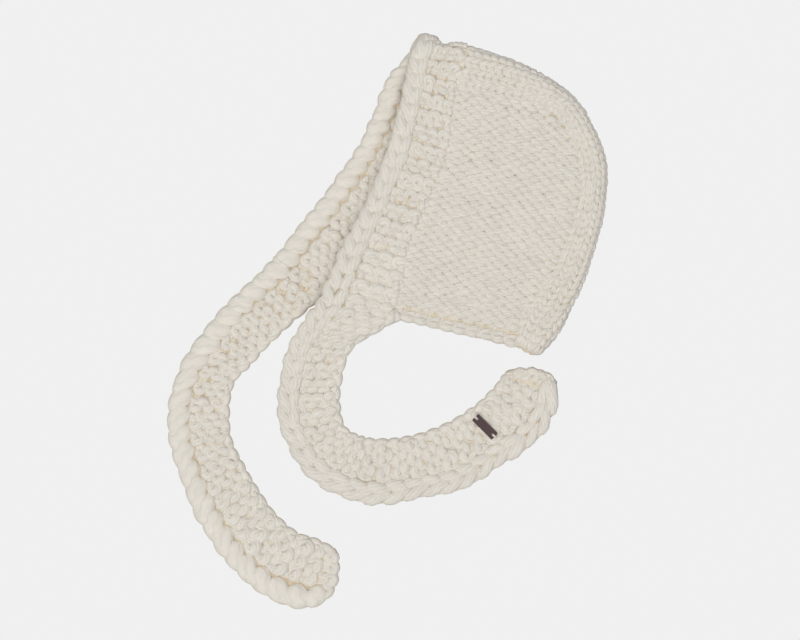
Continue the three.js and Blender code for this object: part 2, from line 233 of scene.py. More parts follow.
# %% Loops
# Lean is in columns, swing in rows and depth in millimetres, and the wobble has a size for each of them.
STEPS = 16
LOOP_DEPTH = 2.1
SWING = 0.75
LEAN = 0.24
GAIN = 1.4
OWN_LEGS = 0.66
WOBBLE = (0.03, 0.045, 0.22)
WOBBLE_EVERY = 0.5


def ease(x):
    """A soft step from 0 to 1, a little steeper than usual."""
    x = np.clip((x - 0.5) * GAIN + 0.5, 0, 1)
    return x * x * (3 - 2 * x)


def drift(t, every):
    """Random unevenness about zero along a yarn, with a new value after every so many stitches."""
    spots = np.arange(0, t[-1] + 2 * every, every)
    return np.interp(t, spots, random.normal(0, 1, len(spots)))


def row_of_loops(kinds, next_kinds, row, heads, lean=LEAN, swing=SWING, skew=0.0, loose=1.0, feet=1.0):
    """Columns, rows and depths along one row; heads is 1 or -1, the way along the rows that they point."""
    count = len(kinds)
    t = np.arange(count * STEPS + 1) / STEPS
    column = np.minimum(t.astype(int), count - 1)
    phase = t - column
    lean, swing, loose = (np.broadcast_to(shape, count)[column] for shape in (lean, swing, loose))
    u = t + lean * np.sin(4 * np.pi * phase) + skew * np.cos(2 * np.pi * phase)
    v = row + 0.5 - heads * swing * np.cos(2 * np.pi * phase)
    padded = np.concatenate([kinds[:1], kinds, kinds[-1:]])
    # A stitch has four stops of depth: its foot, a leg, the head and the other leg.
    stops = np.empty(4 * count + 1)
    stops[0::4] = -(padded[:-1] + padded[1:]) / 2 * np.broadcast_to(feet, count + 1)
    stops[1::4] = OWN_LEGS * kinds + (1 - OWN_LEGS) * next_kinds
    stops[2::4] = -next_kinds
    stops[3::4] = stops[1::4]
    quarter = np.minimum((t * 4).astype(int), 4 * count - 1)
    share = ease(t * 4 - quarter)
    w = LOOP_DEPTH * (stops[quarter] * (1 - share) + stops[quarter + 1] * share)
    return [values + loose * size * drift(t, WOBBLE_EVERY) for values, size in zip((u, v, w), WOBBLE)]


print("one stitch is", STEPS, "steps of yarn,", 2 * LOOP_DEPTH, "mm deep")

# %% [markdown]
# ## Yarn round the paths
#
# A path is laid on a curved cloth by its columns, rows and depths, and a ring of points is swept along it.
# The yarn is soft, so the ring is wider than it is high, and it swells where a loop lies free on the outside.
# A curve with a round bevel would be quicker to write, but its section can't swell and flatten like that.

# %% Rings round a path
# A fullness under 1 makes a ring fuller than an ellipse.
SIDES = 12
FULLNESS = 0.92
SMALL_STEP = 0.02


def lay(surface, u, v, w):
    """Points in space, and the cloth's normal there."""
    over = surface(u + SMALL_STEP, v) - surface(u - SMALL_STEP, v)
    down = surface(u, v + SMALL_STEP) - surface(u, v - SMALL_STEP)
    normal = np.cross(down, over)
    normal /= np.linalg.norm(normal, axis=1)[:, None]
    return surface(u, v) + normal * w[:, None], normal


def rings(centre, normal, wide, high):
    """Rings of points round a path, and how far each point stands out along the cloth's normal."""
    forward = np.gradient(centre, axis=0)
    forward /= np.linalg.norm(forward, axis=1)[:, None]
    across = np.cross(forward, normal)
    across /= np.linalg.norm(across, axis=1)[:, None]
    up = np.cross(across, forward)
    angle = np.arange(SIDES) * 2 * np.pi / SIDES - np.pi / 2
    flat, steep = (np.sign(way) * np.abs(way) ** FULLNESS for way in (np.cos(angle), np.sin(angle)))
    sideways = flat * wide[:, None] / 2
    upward = steep * high[:, None] / 2
    points = centre[:, None] + across[:, None] * sideways[..., None] + up[:, None] * upward[..., None]
    return points, upward


print("a ring has", SIDES, "points")

# %% Yarn along a path
# A slub is a thick place in the yarn.
SLUB = 0.07
SLUB_EVERY = 1.0
MM_PER_CM = 10
FIBRE_STARTS = 100


def tube(centre, normal, depth, wide, high):
    """A yarn as rings round a path, with the depth of their points and where fibres run, in cm."""
    ring, upward = rings(centre, normal, wide, high)
    girth = np.pi * (wide.mean() + high.mean()) / 2 / MM_PER_CM
    run = distances(centre) / MM_PER_CM + random.uniform(0, FIBRE_STARTS)
    around = np.linspace(0, girth, SIDES + 1)
    fibre = np.stack(np.broadcast_arrays(around, run[:, None]), axis=-1)
    return ring, depth[:, None] + upward, fibre


def plump(w, amount):
    """Yarn swells where it lies free on either face, and is squeezed where it passes through the cloth."""
    return 1 + amount * (2 * np.abs(w) / LOOP_DEPTH - 1)


def swell(w, amount):
    """Yarn of big knit stitches swells on the outer face alone, and thins towards the inner one."""
    return 1 + amount * w / LOOP_DEPTH


def spin(surface, path, wide, high):
    """A yarn along a path of loops, with its width and height."""
    u, v, w = path
    centre, normal = lay(surface, u, v, w)
    slub = 1 + SLUB * drift(np.arange(len(u)) / STEPS, SLUB_EVERY)
    return tube(centre, normal, w, wide * slub, high * slub)


print("the thickness of a yarn varies by about", round(100 * SLUB), "percent")

# %% [markdown]
# ## The two halves
#
# Each half is a strip and the side panel that is knitted in one with it: three columns of garter stitch, then
# reverse stocking stitch up to the seam, with a few garter rows as a hem along the neck. The lower half shows
# its wrong side, so knit and purl change places there. A half is described as a surface of columns and rows:
# the same stitches then fit the curved strip, the bulging panel and the tie.

# %% Stitches of a half
# The garter columns start and end at shares of the strip's width, counted from the rim.
ROW = 8.7
RIM_ROW = 2 * ROW
GARTER_COLUMNS = 3
GARTER_START = 0.33
GARTER_END = 0.93
PANEL_COLUMN = 13.8
COURSE = np.radians(-13)
HEM_ROWS = 3
END_ROOM = 7.0
CROWN_CORNER = 3
SEAM_UNDER = 4.5
CROWN_UNDER = 0.35
FEWEST_COLUMNS = 2
MOST_COLUMNS = 20
course_step = np.array([np.cos(COURSE), np.sin(COURSE)])


class Stitches:
    """The rows and columns of a strip and its panel; face is 1 if its right side is up, or else -1."""

    def __init__(self, strip, seam, face, panel_rows, band_end, rim_past):
        self.strip = strip
        self.face = face
        rim_length = strip.length + rim_past
        self.rim_rows = round(rim_length / RIM_ROW)
        self.rim_row = rim_length / self.rim_rows
        self.first, self.last = (int(strip.distance_at(row) / ROW) for row in panel_rows)
        self.band_rows = round(strip.distance_at(band_end) / ROW)
        tie = strip.length - END_ROOM - self.last * ROW
        self.rows = self.last + round(tie / ROW)
        self.tie_row = tie / (self.rows - self.last)
        back = seam[CROWN_CORNER * PER_SPAN:]
        self.panel_rows = np.arange(self.first, self.last)
        self.ends = np.array([self.reach(row, back) for row in self.panel_rows])

    def reach(self, row, back):
        """How many columns a panel row has, with a short stretch under the seam."""
        start = self.strip.at(np.full(1, GARTER_END), np.array([(row + 0.5) * ROW]))[0, :2]
        columns = np.linspace(FEWEST_COLUMNS, MOST_COLUMNS, MOST_COLUMNS * PER_SPAN)
        line = start + columns[:, None] * PANEL_COLUMN * course_step
        gaps = np.linalg.norm(line[:, None] - back[None], axis=2).min(axis=1)
        return columns[gaps <= max(SEAM_UNDER, gaps.min())][-1]

    def past(self, row):
        """How many columns a row runs on past the garter stitch: over the panel, or into the back strip."""
        if row < self.first:
            return CROWN_UNDER
        return self.ends[row - self.first] if row < self.last else 0

    def kinds(self, row, count):
        """The stitches of a row: 1 for knit and -1 for purl, as seen from above."""
        garter = 1.0 if row % 2 == 0 else -1.0
        hem = self.last - HEM_ROWS <= row < self.last
        return self.face * np.where((np.arange(count) < GARTER_COLUMNS) | hem, garter, -1.0)


print("stitches of the panel are", PANEL_COLUMN, "mm wide and", ROW, "mm high")

# %% [markdown]
# With the rows and columns counted, each of them gets its place. The panel's rows run on from the strip in
# straight lines that slope a little towards the neck, and the middle of the upper panel is raised, as cloth
# is over a hollow.

# %% Cloth of a half
RIM_END = 0.31
RIM_CROWN = 1.0


class Half(Stitches):
    """A half of the hood as surfaces over columns u and rows v."""

    def __init__(self, strip, seam, dome, rim_start, **counts):
        super().__init__(strip, seam, **counts)
        self.dome = dome
        self.rim_start = rim_start

    def panel(self, u, v):
        """The side panel, which bulges a little."""
        start = self.strip.at(np.full_like(u, GARTER_END), v * ROW)
        flat = start[..., :2] + u[..., None] * PANEL_COLUMN * course_step
        over = np.clip(u / np.interp(v - 0.5, self.panel_rows, self.ends), 0, 1)
        down = np.clip((v - self.first) / (self.last - self.first), 0, 1)
        rise = self.dome * np.sin(np.pi * over) * np.sin(np.pi * down)
        return np.concatenate([flat, (start[..., 2] + rise)[..., None]], axis=-1)

    def cloth(self, u, v):
        """The strip for the first columns, and the panel for the columns after them."""
        distance = v * ROW + np.maximum(0, v - self.last) * (self.tie_row - ROW)
        point = self.strip.at(GARTER_START + (GARTER_END - GARTER_START) * u / GARTER_COLUMNS, distance)
        inside = u > GARTER_COLUMNS
        if inside.any() and self.first <= v.mean() <= self.last:
            point[inside] = self.panel(u[inside] - GARTER_COLUMNS, v[inside])
        return point

    def rim(self, u, v):
        """The rim as one column, slightly raised along its middle."""
        point = self.strip.at(self.rim_start + (RIM_END - self.rim_start) * u, v * self.rim_row)
        point[:, 2] += RIM_CROWN * np.sin(np.pi * np.clip(u, 0, 1))
        return point


print("the rim takes about", round(100 * RIM_END), "percent of a strip's width")

# %% [markdown]
# The upper half bulges over the hollow for the head and the lower half lies flat. Their panels start below
# the crown and end at the neck; the numbers are rows of the tables, and may lie between two rows.

# %% Both halves
near = Half(near_strip, near_seam, face=1, dome=4.0, panel_rows=(1.64, 8), band_end=9,
            rim_start=0.035, rim_past=4.0)
far = Half(far_strip, far_seam, face=-1, dome=0.0, panel_rows=(1.15, 8), band_end=8,
           rim_start=-0.015, rim_past=-4.0)
halves = {"near": near, "far": far}
for side, half in halves.items():
    print(side, "panel rows", half.first, "to", half.last, "of", half.rows)
    print(side, "stitches in a panel row:", half.ends.round(1))

# %% [markdown]
# ## Soft rolls
#
# Seen from its wrong side the same rim is a roll: strands lie side by side round the edge and felt together.
# The inner edge of a tie, where every second row turns back, looks like a small one. Single turns of yarn
# would look like beads on a string, so a roll is one thick tube with slanting creases between its strands.

# %% Rolls
ROLL_SIDES = 32
ROLL_SLANT = 0.14
ROLL_SHARP = 0.6
ROLL_UNEVEN = 0.05
ROLL_PLY = 0.25


def soft_roll(surface, v, size, crease, notch, fade):
    """Strands side by side round an edge, felted into one roll; there is a crease at every whole v."""
    angle = np.linspace(-np.pi / 2, 3 * np.pi / 2, ROLL_SIDES + 1)
    swing, lift = np.cos(angle), np.sin(angle)
    centre, normal = lay(surface, np.full_like(v, 0.5), v, np.zeros_like(v))
    over = surface(np.ones_like(v), v) - surface(np.zeros_like(v), v)
    over /= np.linalg.norm(over, axis=1)[:, None]
    strand = v[:, None] + ROLL_SLANT * swing
    groove = 1 - np.abs(np.sin(np.pi * strand)) ** ROLL_SHARP
    thick = fade[:, None] * (1 - groove * (crease + notch * np.maximum(0, swing)))
    spots = np.arange(np.floor(v[0]) - 0.5, v[-1] + 2)
    thick *= np.interp(strand, spots, 1 + ROLL_UNEVEN * random.normal(0, 1, len(spots)))
    wide, high = (half_size * thick * way for half_size, way in zip(size, (swing, lift)))
    ring = centre[:, None] + over[:, None] * wide[..., None] + normal[:, None] * high[..., None]
    around = np.linspace(0, np.pi * sum(size) / MM_PER_CM, ROLL_SIDES + 1)
    run = distances(centre) / MM_PER_CM * ROLL_PLY
    fibre = np.stack(np.broadcast_arrays(run[:, None], around), axis=-1)
    return ring[:, :-1], high[:, :-1], fibre


print("a roll has", ROLL_SIDES, "sides")

# %% Rolled edges
# The sizes of a roll are half its width and half its height, and those of a yarn the whole ones.
ROLL_SIZE = (12.0, 6.2)
ROLL_CREASE = 0.2
ROLL_NOTCH = 0.3
ROLL_END = 0.7
ROLL_TIP = 0.01
ROLL_GROW = 0.14
EDGE_SIZE = (5.6, 4.6)
EDGE_CREASE = 0.42
EDGE_NOTCH = 0.3
EDGE_STEPS = 7
EDGE_INSET = 0.1
EDGE_REACH = 0.2


def rim_roll(half, surface, last, size, grow, crease, notch):
    """A roll along a rim, in two stretches: the band's, and the tie's with a rounded end."""
    split = half.band_rows * ROW / half.rim_row
    for start, end in ((0, split), (split, last)):
        v = np.linspace(start, end, int((end - start) * STEPS))
        left = np.clip((last - v) / ROLL_END, ROLL_TIP, 1)
        fade = np.sqrt(left * (2 - left)) * (1 + grow * v / last)
        yield start, soft_roll(surface, v, size, crease, notch, fade)


def coil_rim(half):
    """The rim from its wrong side."""
    return rim_roll(half, half.rim, half.rim_rows, ROLL_SIZE, ROLL_GROW, ROLL_CREASE, ROLL_NOTCH)


def plain_edge(half):
    """The inner edge of a tie: every second row turns back there."""
    def surface(u, v):
        return half.cloth(GARTER_COLUMNS - EDGE_INSET + EDGE_REACH * (0.5 - u), 2 * v)

    v = np.linspace(half.last, half.rows + 0.5, (half.rows - half.last) * EDGE_STEPS) / 2
    return soft_roll(surface, v, EDGE_SIZE, EDGE_CREASE, EDGE_NOTCH, np.ones_like(v))


print("far rim:", far.rim_rows, "strands of", round(far.rim_row, 1), "mm")

# %% [markdown]
# ## The chain along the near rim
#
# The rim of the upper strip is one column of big knit stitches, slipped in every second row, so that they
# look like a chain. They are the same loops as elsewhere, one to a row, with thicker yarn. Round tubes alone
# would give a scalloped edge, so a smooth roll inside the chain stands for the felted wool that fills it out,
# less and less towards the end of the tie, where the chain stands free.
# The last stitch is tucked down, because on a real tie its ends go into the edge.

# %% Chain rim
CHAIN_SIZE = (11.2, 7.2)
CHAIN_LEAN = 0.22
CHAIN_SKEW = 0.09
CHAIN_PLUMP = 0.16
CHAIN_TUCK = 0.5
CHAIN_SINK = 9.0
CORE_SIZE = (7.0, 4.0)
CORE_GROW = -0.2
CORE_PLACE = 0.22
CORE_END = 1.5


def chain_rim(half):
    """The chain's yarns, each with the row where it lies."""
    kinds = np.ones(1)
    for row in range(-1, half.rim_rows - 1):
        path = row_of_loops(kinds, kinds, row + 0.5, -half.face, CHAIN_LEAN, skew=CHAIN_SKEW)
        past = np.maximum(0, path[1] - half.rim_rows + CHAIN_TUCK)
        path[1] = path[1] - past
        path[2] = path[2] - CHAIN_SINK * past
        fat = swell(path[2], CHAIN_PLUMP)
        yield row + 0.5, spin(half.rim, path, CHAIN_SIZE[0] * fat, CHAIN_SIZE[1] * fat)

    def core(u, v):
        return half.rim(u - 0.5 + CORE_PLACE, v)

    yield from rim_roll(half, core, half.rim_rows - CORE_END, CORE_SIZE, CORE_GROW, crease=0, notch=0)


print("near rim:", near.rim_rows, "chain stitches of", round(near.rim_row, 1), "mm")

# %% [markdown]
# ## Cast-off edges
#
# Knitting is cast off at the end of a tie and along the neck, which leaves a row of closed stitches that
# overlap like the links of a chain. Each link is a ring of yarn that climbs over the one before it, so
# a tilted ellipse is enough.

# %% Cast-off edges
LINK_SIZE = (7.4, 6.0)
LINK_REACH = 0.68
LINK_RISE = 1.2
END_STITCHES = 5
END_SPARE = 0.3
END_INNER = 0.12
END_DEPTH = 7.0
END_INSET = 3.0
NECK_DEPTH = 0.75
NECK_BASE = 0.7


def links(surface, count):
    """A cast-off edge: closed stitches that overlap like the links of a chain."""
    turn = np.linspace(0, 2 * np.pi, 2 * STEPS + 1)
    wide, high = (np.full_like(turn, size) for size in LINK_SIZE)
    for stitch in range(count):
        path = 0.5 - 0.5 * np.cos(turn), stitch + 0.5 + LINK_REACH * np.sin(turn), LINK_RISE * np.sin(turn)
        yield spin(surface, path, wide, high)


def tie_end(half):
    """The links across the end of a tie."""
    def surface(u, v):
        share = (v + END_SPARE) / (END_STITCHES + 2 * END_SPARE)
        across = GARTER_END + (END_INNER - GARTER_END) * share
        return half.strip.at(across, half.strip.length - END_INSET - END_DEPTH * (1 - u))

    return links(surface, END_STITCHES)


def neck_edge(half):
    """The links along the neck."""
    count = round(half.ends[-1])

    def surface(u, v):
        return half.panel(v * half.ends[-1] / count, half.last + NECK_DEPTH * (u - NECK_BASE))

    return links(surface, count)


print("cast-off stitches:", END_STITCHES, "to a tie,", round(near.ends[-1]), "along the near neck")

# %% [markdown]
# ## Knitting the halves
#
# A row runs from the rim across the garter columns and on into the panel, so it is spun as one yarn and cut
# where one piece ends and the next begins. Garter stitch is loose and thick, and squeezed where the strip is
# narrow. At the back each panel row goes down under the edge of the back strip: that makes the seam,
# a soft crease without a line of its own.

# %% Loops of a row
GARTER_LEAN = 0.2
GARTER_SWING = 0.98
GARTER_FEET = 0.8
GARTER_LOOSE = 1.9
SEAM_SINK = 4.0
SEAM_RUN = 0.8


def row_path(half, row):
    """The loops of one row; a panel row sinks where it goes under the seam."""
    end = half.past(row)
    count = GARTER_COLUMNS + int(np.ceil(end))
    heads = -half.face
    plain = np.arange(count) < GARTER_COLUMNS
    path = row_of_loops(half.kinds(row, count), half.kinds(row + heads, count), row, heads,
                        lean=np.where(plain, GARTER_LEAN, LEAN),
                        swing=np.where(plain, GARTER_SWING, SWING),
                        loose=np.where(plain, GARTER_LOOSE, 1.0),
                        feet=np.where(np.arange(count + 1) < GARTER_COLUMNS, GARTER_FEET, 1.0))
    if row in half.panel_rows:
        past = np.clip((path[0] - GARTER_COLUMNS - end) / SEAM_RUN + 1, 0, 1)
        path[2] = path[2] - half.face * SEAM_SINK * past**2
    return path


print("a panel row sinks", SEAM_SINK, "mm where it goes under the seam")

# %% Yarn of a row
GARTER_SIZE = (9.2, 6.2)
GARTER_WIDTH = 70.0
GARTER_PLUMP = 0.28
PANEL_SIZE = (8.0, 5.6)
PANEL_PLUMP = 0.12
JOIN_FAT = 0.25
JOIN_RUN = 0.35
EDGE_THIN = 0.5
EDGE_RUN = 0.4


def row_size(half, row, path):
    """Width and height of a row's yarn: thick in garter stitch and where it goes on into the panel."""
    distance = np.array([path[1].mean() * ROW])
    width = np.linalg.norm(half.strip.at(np.ones(1), distance) - half.strip.at(np.zeros(1), distance))
    fat = plump(path[2], GARTER_PLUMP) * width / GARTER_WIDTH
    if row >= half.last:
        fat = fat * (1 - EDGE_THIN * np.clip((path[0] - GARTER_COLUMNS) / EDGE_RUN + 1, 0, 1))
        return [size * fat for size in GARTER_SIZE]
    mix = np.clip(path[0] - GARTER_COLUMNS + 0.5, 0, 1)
    fat = (1 - mix) * fat + mix * plump(path[2], PANEL_PLUMP)
    fat = fat * (1 + JOIN_FAT * np.exp(-((path[0] - GARTER_COLUMNS) / JOIN_RUN) ** 2))
    return [((1 - mix) * garter + mix * panel) * fat for garter, panel in zip(GARTER_SIZE, PANEL_SIZE)]


print("garter yarn is", GARTER_SIZE[0], "mm wide and panel yarn", PANEL_SIZE[0], "mm")

# %% Knitted halves
def knit_half(half, rim):
    """All yarns of a half, in a list for each of its pieces."""
    yarns = {"front_band": [], "hood_side": [], "tie": []}
    split = GARTER_COLUMNS * STEPS
    for row in range(half.rows):
        path = row_path(half, row)
        whole = spin(half.cloth, path, *row_size(half, row, path))
        stop = int((GARTER_COLUMNS + half.past(row)) * STEPS) + 1
        if row in half.panel_rows:
            yarns["hood_side"].append([values[split:stop] for values in whole])
            stop = split + 1
        yarns["front_band" if row < half.band_rows else "tie"].append([values[:stop] for values in whole])
    for place, yarn in rim(half):
        yarns["front_band" if place * half.rim_row < half.band_rows * ROW else "tie"].append(yarn)
    yarns["tie"].append(plain_edge(half))
    yarns["tie"].extend(tie_end(half))
    yarns["hood_side"].extend(neck_edge(half))
    return yarns


knitted = {}
for side, rim in (("near", chain_rim), ("far", coil_rim)):
    for part, yarns in knit_half(halves[side], rim).items():
        knitted[part + "_" + side] = yarns
print("yarns:", {node: len(yarns) for node, yarns in knitted.items()})

# %% [markdown]
# ## The back strip
#
# Knit columns run from the crown down to the nape and join the two sides. The strip lies round the fold: flat
# on top, a half turn, and flat again below. A half ellipse stands for the turn, because the cloth is pressed
# by its own weight, and where the strip is narrow there is room for the turn only.

# %% Back strip
GUSSET_ROW = 8.8
GUSSET_START = 0.5
GUSSET_LEFT = 5.0
GUSSET_COLUMNS = 6
SEAM_FLAT = 2.0
crest_line = smooth(GUSSET[:, CREST])
crest_length = distances(crest_line)[-1] - GUSSET_LEFT
gusset_rows = round(crest_length / GUSSET_ROW)
gusset_row = crest_length / gusset_rows
crest_run = stretch(distances(crest_line)[:, None])[:, 0]
crest, near_edge, far_edge = (stretch(line) for line in (crest_line, near_seam, far_seam))


def back_strip(u, v):
    """Points of the back strip's middle; u runs from the near seam over the fold to the far seam."""
    where = v * gusset_row + GUSSET_START
    top = along(crest, crest_run, where)
    near_way = along(near_edge, crest_run, where) - top
    far_way = along(far_edge, crest_run, where) - top
    near_length = np.linalg.norm(near_way, axis=-1)
    far_length = np.linalg.norm(far_way, axis=-1)
    reach = np.minimum(FOLD, np.minimum(near_length, far_length) - SEAM_FLAT)
    bulge = np.maximum(1, reach - WALL / 2)
    arc = np.pi * np.sqrt((bulge**2 + BEND**2) / 2)
    near_flat = near_length - reach
    far_flat = far_length - reach
    distance = u / GUSSET_COLUMNS * (near_flat + arc + far_flat)
    turn = np.clip((distance - near_flat) / arc, 0, 1) * np.pi
    inset = reach - bulge * np.sin(turn)
    inset = inset + np.maximum(0, near_flat - distance) + np.maximum(0, distance - near_flat - arc)
    near_way, far_way = near_way / near_length[..., None], far_way / far_length[..., None]
    way = np.where((turn < np.pi / 2)[..., None], near_way, far_way)
    return np.concatenate([top + way * inset[..., None], (FOLD + BEND * np.cos(turn))[..., None]], axis=-1)


print("back strip:", gusset_rows, "rows of", round(gusset_row, 2), "mm,", GUSSET_COLUMNS, "columns")

# %% Yarns of the back strip
GUSSET_SIZE = (6.2, 5.4)
GUSSET_PLUMP = 0.16
gusset_kinds = np.ones(GUSSET_COLUMNS)
knitted["crown_gusset"] = []
for row in range(gusset_rows):
    path = row_of_loops(gusset_kinds, gusset_kinds, row, 1)
    fat = swell(path[2], GUSSET_PLUMP)
    yarn = spin(back_strip, path, GUSSET_SIZE[0] * fat, GUSSET_SIZE[1] * fat)
    knitted["crown_gusset"].append(yarn)
print("back strip:", len(knitted["crown_gusset"]), "yarns")

# %% [markdown]
# ## The seam over the crown
#
# The upper and the lower band start at the fold over the crown, where they are sewn together. Without a seam
# the first loops of both would leave holes there, so a small soft roll runs along the fold and fills them.
# It all lies on the outside, so its points are given the depth of the outer face.

# %% Crown seam
CROWN_SEAM = (9.5, 4.8)
CROWN_CREASE = 0.2
CROWN_STITCHES = 6
CROWN_PAST = 0.8


def crown_seam(half):
    """The sewn fold across the start of a band."""
    def surface(u, v):
        across = GARTER_START + (GARTER_END - GARTER_START) * v / CROWN_STITCHES
        return half.strip.at(across, u - 0.5)

    v = np.linspace(0, CROWN_STITCHES + CROWN_PAST, CROWN_STITCHES * STEPS)
    ring, depth, fibre = soft_roll(surface, v, CROWN_SEAM, CROWN_CREASE, notch=0, fade=np.ones_like(v))
    return ring, np.full_like(depth, WALL / 2), fibre


knitted["front_band_near"].append(crown_seam(near))
print("crown seam:", CROWN_STITCHES, "stitches")

# %% [markdown]
# ## Pieces of yarn
#
# A hood like this has hundreds of yarns. As objects of their own they would be slow to make and to render,
# so all yarns of a piece go into one mesh built from arrays. Each point keeps how deep it lies in the cloth,
# and each corner keeps where it is on the unrolled yarn: the wool's finish reads both later.

# %% One mesh for many yarns
OUTER_DEPTH = 5.2


def put(name, data):
    """A new object in the scene."""
    thing = bpy.data.objects.new(name, data)
    bpy.context.scene.collection.objects.link(thing)
    return thing


def yarn_mesh(name, yarns):
    """One piece of many yarns; each is its rings, the depth of their points and where fibres run."""
    points, faces, coordinates, depths = [], [], [], []
    base = 0
    for ring, depth, fibre in yarns:
        count, sides = ring.shape[:2]
        points.append(ring.reshape(-1, 3))
        depths.append(depth.ravel() / OUTER_DEPTH)
        i, k = np.meshgrid(np.arange(count - 1), np.arange(sides), indexing="ij")
        here, there, after = base + i * sides, base + (i + 1) * sides, (k + 1) % sides
        quads = np.stack([here + k, there + k, there + after, here + after], axis=-1)
        faces.extend(quads.reshape(-1, 4).tolist())
        corners = np.stack([fibre[i, k], fibre[i + 1, k], fibre[i + 1, k + 1], fibre[i, k + 1]], axis=2)
        coordinates.append(corners.reshape(-1, 2))
        faces.append((base + np.arange(sides)).tolist())
        faces.append((base + (count - 1) * sides + np.arange(sides)[::-1]).tolist())
        coordinates.append(np.zeros((2 * sides, 2)))
        base += count * sides
    mesh = bpy.data.meshes.new(name)
    points = np.vstack(points) + HOME
    # Soft wool is pressed flat where it would reach into the floor.
    points[:, 2] = np.maximum(points[:, 2], 0)
    mesh.from_pydata(points * MM, [], faces)
    layer = mesh.uv_layers.new(name="yarn")
    layer.uv.foreach_set("vector", np.vstack(coordinates).astype(np.float32).ravel())
    sunk = mesh.attributes.new("depth", "FLOAT", "POINT")
    sunk.data.foreach_set("value", np.concatenate(depths).astype(np.float32))
    mesh.shade_smooth()
    print(name, len(yarns), "yarns,", sum(len(face) - 2 for face in faces), "triangles")
    return put(name, mesh)


print("the outer face of a yarn lies about", OUTER_DEPTH, "mm from the middle of the cloth")

# %% Pieces of yarn
pieces = {node: yarn_mesh(node + "_yarn", yarns) for node, yarns in knitted.items()}
print("pieces of yarn:", len(pieces))

# %% [markdown]
# ## The ground behind the loops
#
# Wool felts a little where the loops cross, and no light comes straight through such a knit. Fine hairs would
# take millions of triangles, so a thin sheet in the middle of each piece stands for that felted ground, and
# its tan colour, seen in the gaps, is painted shade.
# It is also the cloth whose flat size is measured along its rows and columns.

# %% Ground sheets
SHEET = 3.2


def sheet_mesh(name, grid):
    """A closed sheet round a grid of points, with its flat width, length and area in metres."""
    along_rows, along_columns = np.gradient(grid, axis=(0, 1))
    normal = np.cross(along_rows, along_columns)
    normal /= np.linalg.norm(normal, axis=2)[..., None]
    rows, columns = grid.shape[:2]
    top, bottom = ((grid + side * SHEET / 2 * normal).reshape(-1, 3) for side in (1, -1))
    index = np.arange(rows * columns).reshape(rows, columns)
    corners = [index[:-1, :-1], index[:-1, 1:], index[1:, 1:], index[1:, :-1]]
    cells = np.stack(corners, axis=-1).reshape(-1, 4)
    rim = np.concatenate([index[0, :-1], index[:-1, -1], index[-1, :0:-1], index[:0:-1, 0]])
    after = np.roll(rim, -1)
    size = rows * columns
    sides = np.stack([rim, rim + size, after + size, after], axis=-1)
    faces = np.vstack([cells[:, ::-1], cells + size, sides])
    mesh = bpy.data.meshes.new(name)
    mesh.from_pydata((np.vstack([top, bottom]) + HOME) * MM, [], faces.tolist())
    mesh.shade_smooth()
    down, over = np.diff(grid, axis=0), np.diff(grid, axis=1)
    width = np.linalg.norm(over, axis=2).sum(axis=1).max()
    length = np.linalg.norm(down, axis=2).sum(axis=0).max()
    area = np.linalg.norm(np.cross(down[:, :-1], over[:-1]), axis=2).sum()
    print(name, "flat", width.round(), "by", length.round(), "mm, area", area.round(), "mm2")
    return put(name, mesh), width * MM, length * MM, area * MM * MM


print("ground sheets are", SHEET, "mm thick")

# %% Grids of the ground
STRIP_GROUND = (0.095, 0.88)
STRIP_POINTS = (12, 60)
PANEL_POINTS = (20, 40)
BACK_POINTS = (24, 80)
# What stays free of ground at an edge, in millimetres on a strip and in rows on the other pieces.
CROWN_LEFT = 8.0
TIE_LEFT = 10.0
PANEL_LEFT = 1.5
BACK_LEFT = 0.7


def grid_of(over, down, points):
    """Two grids of values, over the cloth and down it, each from a first to a last value."""
    return np.meshgrid(np.linspace(*over, points[0]), np.linspace(*down, points[1]))


def strip_grid(half, start, end):
    """The ground of a strip between two distances from the crown."""
    return half.strip.at(*grid_of(STRIP_GROUND, (start, end), STRIP_POINTS))


def panel_grid(half):
    """The ground of a side panel."""
    share, row = grid_of((0, 1), (half.first, half.last - PANEL_LEFT), PANEL_POINTS)
    return half.panel(share * np.interp(row - 0.5, half.panel_rows, half.ends), row)


grids = {}
for side, half in halves.items():
    split = half.band_rows * ROW
    grids["front_band_" + side] = strip_grid(half, CROWN_LEFT, split)
    grids["tie_" + side] = strip_grid(half, split, half.strip.length - TIE_LEFT)
    grids["hood_side_" + side] = panel_grid(half)
grids["crown_gusset"] = back_strip(*grid_of((0, GUSSET_COLUMNS), (0, gusset_rows - BACK_LEFT), BACK_POINTS))
# Each sheet is tan, as painted shade in the gaps between the loops.
sheets = {node: sheet_mesh(node + "_shade_ground", grid) for node, grid in grids.items()}
print("ground sheets:", len(sheets))

# %% [markdown]
# ## The label plate
#
# A small cast plate is sewn on near the end of the near tie. It has a notch at each end for the thread,
# a raised border and four small studs, and its field is bare. It could be cut from a box with booleans, but
# its outline is simple: it is drawn once as points, and Blender's own inset and bevel make the border
# and the rounded edges from it.

# %% Outline of the plate
LABEL_TURN = np.radians(-45)
LABEL_SIZE = np.array([29.2, 9.5])
LABEL_LEVELS = (12.3, 13.7)
LABEL_CORNER = 0.9
CORNER_POINTS = 6
NOTCH_DEPTH = 4.6
NOTCH_RADIUS = 1.2
NOTCH_POINTS = 9
label_way = np.array([np.cos(LABEL_TURN), np.sin(LABEL_TURN)])
label_axes = np.array([label_way, [-label_way[1], label_way[0]]])


def on_label(points):
    """From the plate's own length and width to the shared frame, in millimetres."""
    return np.column_stack([points[:, :2] @ label_axes + LABEL_CENTRE, points[:, 2]])


